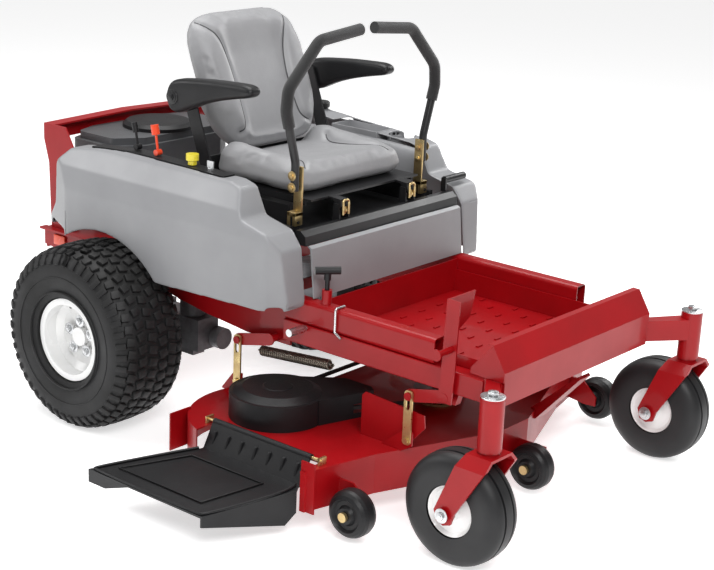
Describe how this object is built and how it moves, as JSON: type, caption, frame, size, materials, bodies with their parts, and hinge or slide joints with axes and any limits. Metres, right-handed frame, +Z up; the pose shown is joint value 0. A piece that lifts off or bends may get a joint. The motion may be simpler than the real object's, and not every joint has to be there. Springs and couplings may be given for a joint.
{
  "type": "zero turn mower",
  "caption": "Ride-on zero turn lawn mower with a side-discharge deck, rear engine, lever steering, front casters and a bucket seat.",
  "frame": {"origin": "on the ground under the centre of the whole machine's box, with the deflector folded down", "axes": "+Z up, -Y the machine's front, +X the machine's left"},
  "size_m": [1.4589, 1.8266, 1.1254],
  "materials": {
    "red_paint": "gloss powder coat",
    "pod_plastic": "satin moulded",
    "black_plastic": "satin",
    "black_paint": "satin",
    "drive_tyre": "matte",
    "caster_tyre": "satin",
    "white_rim": "gloss",
    "seat_vinyl": "satin vinyl",
    "foam_grip": "matte foam",
    "zinc_gold": "yellow zinc",
    "zinc": "bright zinc",
    "cast_alloy": "as cast",
    "shroud_grey": "satin",
    "silencer": "heat resistant black",
    "spring_steel": "oiled",
    "belt_rubber": "matte",
    "orange_knob": "gloss",
    "yellow_knob": "gloss",
    "blade_steel": "dark"
  },
  "bodies": {
    "chassis": {"lower_rails": "red_paint", "upper_rails": "red_paint", "front_axle": "red_paint", "rear_frame": "red_paint", "foot_pan": "red_paint", "kick_panel": "red_paint", "rear_guard": "red_paint", "fender_right": "pod_plastic", "fender_left": "pod_plastic", "front_panel": "pod_plastic", "seat_support": "black_paint", "console_plate": "black_plastic", "engine_block": "cast_alloy", "engine_shroud": "shroud_grey", "fan_screen": "black_plastic", "muffler": "silencer", "transaxles": "cast_alloy", "side_pegs": "zinc", "lift_spring": "spring_steel"},
    "lift_front": {"lift_front": "red_paint"},
    "lift_rear": {"lift_rear": "red_paint"},
    "lift_pedal": {"lift_pedal": "red_paint"},
    "deck": {"deck_shell": "red_paint", "belt_covers": "black_plastic", "deck_hardware": "zinc_gold", "deck_belt": "belt_rubber"},
    "chute": {"chute": "black_plastic"},
    "seat": {"seat_pan": "black_paint", "seat_cushion": "seat_vinyl", "seat_back": "seat_vinyl"},
    "height_pin": {"height_pin": "black_plastic"},
    "choke": {"choke": "black_plastic"},
    "throttle": {"throttle": "orange_knob"},
    "blade_knob": {"blade_knob": "yellow_knob"},
    "ignition_key": {"ignition_key": "zinc"},
    "fuel_cap": {"fuel_cap": "black_plastic"},
    "drive_wheel_left": {"drive_tyre_left": "drive_tyre", "drive_rim_left": "white_rim"},
    "caster_fork_left": {"caster_fork_left": "red_paint"},
    "caster_wheel_left": {"caster_tyre_left": "caster_tyre", "caster_rim_left": "white_rim"},
    "lever_rocker_left": {"lever_rocker_left": "black_paint"},
    "lever_arm_left": {"lever_arm_left": "black_paint", "lever_grip_left": "foam_grip"},
    "armrest_left": {"armrest_left": "black_plastic"},
    "drive_wheel_right": {"drive_tyre_right": "drive_tyre", "drive_rim_right": "white_rim"},
    "caster_fork_right": {"caster_fork_right": "red_paint"},
    "caster_wheel_right": {"caster_tyre_right": "caster_tyre", "caster_rim_right": "white_rim"},
    "lever_rocker_right": {"lever_rocker_right": "black_paint"},
    "lever_arm_right": {"lever_arm_right": "black_paint", "lever_grip_right": "foam_grip"},
    "armrest_right": {"armrest_right": "black_plastic"},
    "blade_right": {"blade_right": "blade_steel"},
    "blade_centre": {"blade_centre": "blade_steel"},
    "blade_left": {"blade_left": "blade_steel"},
    "roller_right": {"roller_right": "black_plastic"},
    "roller_centre": {"roller_centre": "black_plastic"},
    "roller_left": {"roller_left": "black_plastic"}
  },
  "joints": [
    {"name": "drive_wheel_left_roll", "type": "hinge", "parent": "chassis", "child": "drive_wheel_left", "pos_m": [0.5765, 0.47135, 0.254], "axis": [1, 0, 0], "continuous": true},
    {"name": "caster_left_swivel", "type": "hinge", "parent": "chassis", "child": "caster_fork_left", "pos_m": [0.5685, -0.84165, 0.3], "axis": [0, 0, 1], "continuous": true},
    {"name": "caster_left_roll", "type": "hinge", "parent": "caster_fork_left", "child": "caster_wheel_left", "pos_m": [0.5685, -0.77365, 0.1397], "axis": [1, 0, 0], "continuous": true},
    {"name": "lever_left_drive", "type": "hinge", "parent": "chassis", "child": "lever_rocker_left", "pos_m": [0.3805, -0.06865, 0.622], "axis": [1, 0, 0], "range_deg": [-10, 15]},
    {"name": "lever_left_park", "type": "hinge", "parent": "lever_rocker_left", "child": "lever_arm_left", "pos_m": [0.3805, -0.06865, 0.642], "axis": [0, 1, 0], "range_deg": [0, 20]},
    {"name": "armrest_left_fold", "type": "hinge", "parent": "seat", "child": "armrest_left", "pos_m": [0.3675, 0.34435, 0.904], "axis": [-1, 0, 0], "range_deg": [0, 85]},
    {"name": "drive_wheel_right_roll", "type": "hinge", "parent": "chassis", "child": "drive_wheel_right", "pos_m": [-0.3435, 0.47135, 0.254], "axis": [1, 0, 0], "continuous": true},
    {"name": "caster_right_swivel", "type": "hinge", "parent": "chassis", "child": "caster_fork_right", "pos_m": [-0.3355, -0.84165, 0.3], "axis": [0, 0, 1], "continuous": true},
    {"name": "caster_right_roll", "type": "hinge", "parent": "caster_fork_right", "child": "caster_wheel_right", "pos_m": [-0.3355, -0.77365, 0.1397], "axis": [1, 0, 0], "continuous": true},
    {"name": "lever_right_drive", "type": "hinge", "parent": "chassis", "child": "lever_rocker_right", "pos_m": [-0.1475, -0.06865, 0.622], "axis": [1, 0, 0], "range_deg": [-10, 15]},
    {"name": "lever_right_park", "type": "hinge", "parent": "lever_rocker_right", "child": "lever_arm_right", "pos_m": [-0.1475, -0.06865, 0.642], "axis": [0, -1, 0], "range_deg": [0, 20]},
    {"name": "armrest_right_fold", "type": "hinge", "parent": "seat", "child": "armrest_right", "pos_m": [-0.1345, 0.34435, 0.904], "axis": [-1, 0, 0], "range_deg": [0, 85]},
    {"name": "deck_lift", "type": "hinge", "parent": "chassis", "child": "lift_front", "pos_m": [0.1165, -0.63072, 0.338], "axis": [1, 0, 0], "range_deg": [-7.22, 33.98], "deforming": ["lift_spring"]},
    {"name": "deck_level", "type": "hinge", "parent": "lift_front", "child": "deck", "pos_m": [0.1165, -0.52565, 0.313], "axis": [1, 0, 0], "range_deg": [-33.98, 7.22]},
    {"name": "deck_lift_rear", "type": "hinge", "parent": "chassis", "child": "lift_rear", "pos_m": [0.1165, -0.06072, 0.338], "axis": [1, 0, 0], "range_deg": [-7.22, 33.98]},
    {"name": "deck_pedal", "type": "hinge", "parent": "chassis", "child": "lift_pedal", "pos_m": [0.1165, -0.63072, 0.338], "axis": [1, 0, 0], "range_deg": [-4.49, 21.08]},
    {"name": "chute_swing", "type": "hinge", "parent": "deck", "child": "chute", "pos_m": [-0.4315, -0.40065, 0.176], "axis": [0, 1, 0], "range_deg": [0, 80], "stiffness_Nm_per_rad": 1.5},
    {"name": "blade_right_spin", "type": "hinge", "parent": "deck", "child": "blade_right", "pos_m": [-0.2685, -0.13865, 0.084], "axis": [0, 0, 1], "continuous": true},
    {"name": "blade_centre_spin", "type": "hinge", "parent": "deck", "child": "blade_centre", "pos_m": [0.1165, -0.35865, 0.084], "axis": [0, 0, 1], "continuous": true},
    {"name": "blade_left_spin", "type": "hinge", "parent": "deck", "child": "blade_left", "pos_m": [0.5015, -0.13865, 0.084], "axis": [0, 0, 1], "continuous": true},
    {"name": "roller_right_spin", "type": "hinge", "parent": "deck", "child": "roller_right", "pos_m": [-0.4275, -0.52965, 0.072], "axis": [1, 0, 0], "continuous": true},
    {"name": "roller_centre_spin", "type": "hinge", "parent": "deck", "child": "roller_centre", "pos_m": [0.1135, -0.67365, 0.072], "axis": [1, 0, 0], "continuous": true},
    {"name": "roller_left_spin", "type": "hinge", "parent": "deck", "child": "roller_left", "pos_m": [0.6605, -0.52965, 0.072], "axis": [1, 0, 0], "continuous": true},
    {"name": "seat_tilt", "type": "hinge", "parent": "chassis", "child": "seat", "pos_m": [0.1165, -0.11865, 0.672], "axis": [1, 0, 0], "range_deg": [0, 16]},
    {"name": "height_pin_pull", "type": "slide", "parent": "chassis", "child": "height_pin", "axis": [0, 0, 1], "range_m": [0, 0.03]},
    {"name": "choke_swing", "type": "hinge", "parent": "chassis", "child": "choke", "pos_m": [-0.2395, 0.41135, 0.7665], "axis": [1, 0, 0], "range_deg": [-20, 20]},
    {"name": "throttle_swing", "type": "hinge", "parent": "chassis", "child": "throttle", "pos_m": [-0.2395, 0.33435, 0.76488], "axis": [1, 0, 0], "range_deg": [-20, 20]},
    {"name": "blade_knob_pull", "type": "slide", "parent": "chassis", "child": "blade_knob", "axis": [0, 0, 1], "range_m": [0, 0.012]},
    {"name": "ignition_turn", "type": "hinge", "parent": "chassis", "child": "ignition_key", "pos_m": [-0.2395, 0.14035, 0.75181], "axis": [0, 0, -1], "range_deg": [0, 70]},
    {"name": "fuel_cap_turn", "type": "hinge", "parent": "chassis", "child": "fuel_cap", "pos_m": [0.5005, 0.40935, 0.784], "axis": [0, 0, 1], "range_deg": [0, 270]}
  ],
  "couplings": [
    {"joint": "deck_level", "follows": "deck_lift", "ratio": -1},
    {"joint": "deck_lift_rear", "follows": "deck_lift", "ratio": 1},
    {"joint": "deck_pedal", "follows": "deck_lift", "ratio": 0.62},
    {"joint": "blade_centre_spin", "follows": "blade_right_spin", "ratio": 1},
    {"joint": "blade_left_spin", "follows": "blade_right_spin", "ratio": 1}
  ]
}
